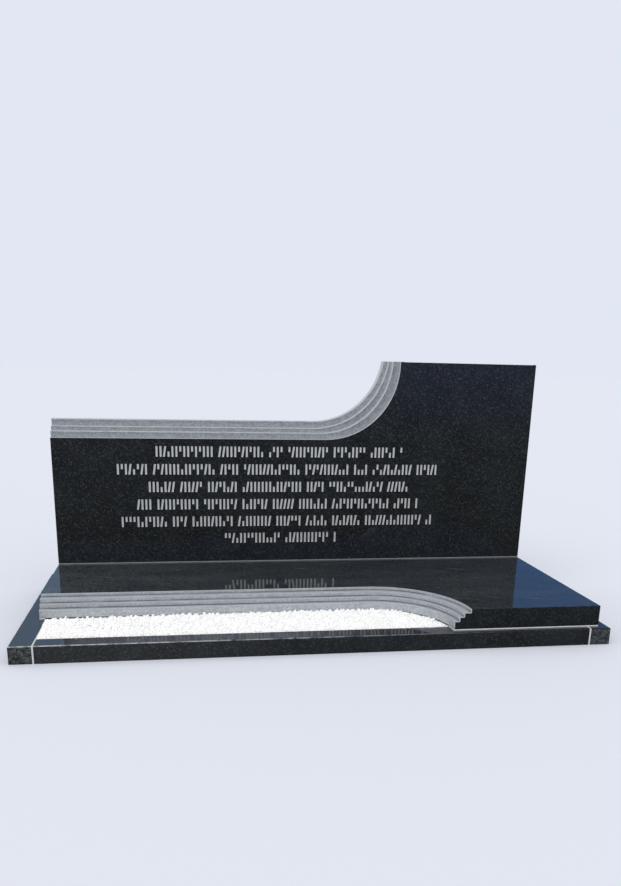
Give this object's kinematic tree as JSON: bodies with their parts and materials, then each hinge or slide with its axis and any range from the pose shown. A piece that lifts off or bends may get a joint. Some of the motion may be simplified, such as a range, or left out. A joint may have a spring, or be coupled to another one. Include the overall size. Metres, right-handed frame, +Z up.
{
  "type": "kerbed memorial",
  "caption": "Granite grave memorial: low kerb frame, ledger slab with a stepped open corner of white chips, and a headstone that rises from a low shoulder.",
  "frame": {"origin": "on the ground, under the middle of the kerb frame", "axes": "+X along the front to the viewer's right, +Y from the front kerb to the headstone's back, +Z up"},
  "size_m": [1.45, 0.632, 0.6758],
  "materials": {
    "black_granite": "polished black granite with fine grey specks; the stepped cut-out, the moulding and the strokes are honed grey",
    "mortar": "pale matt mortar and bedding lines",
    "white_marble": "bright white crushed marble chips, matt"
  },
  "bodies": {
    "root": {"front_kerb": "black_granite", "rear_kerb": "black_granite", "left_kerb": "black_granite", "right_kerb": "black_granite", "ledger_slab": "black_granite", "headstone": "black_granite", "front_left_corner_mortar": "mortar", "front_right_corner_mortar": "mortar", "rear_left_corner_mortar": "mortar", "rear_right_corner_mortar": "mortar", "ledger_bedding": "mortar", "headstone_bedding": "mortar", "stone_chips": "white_marble"}
  },
  "joints": []
}
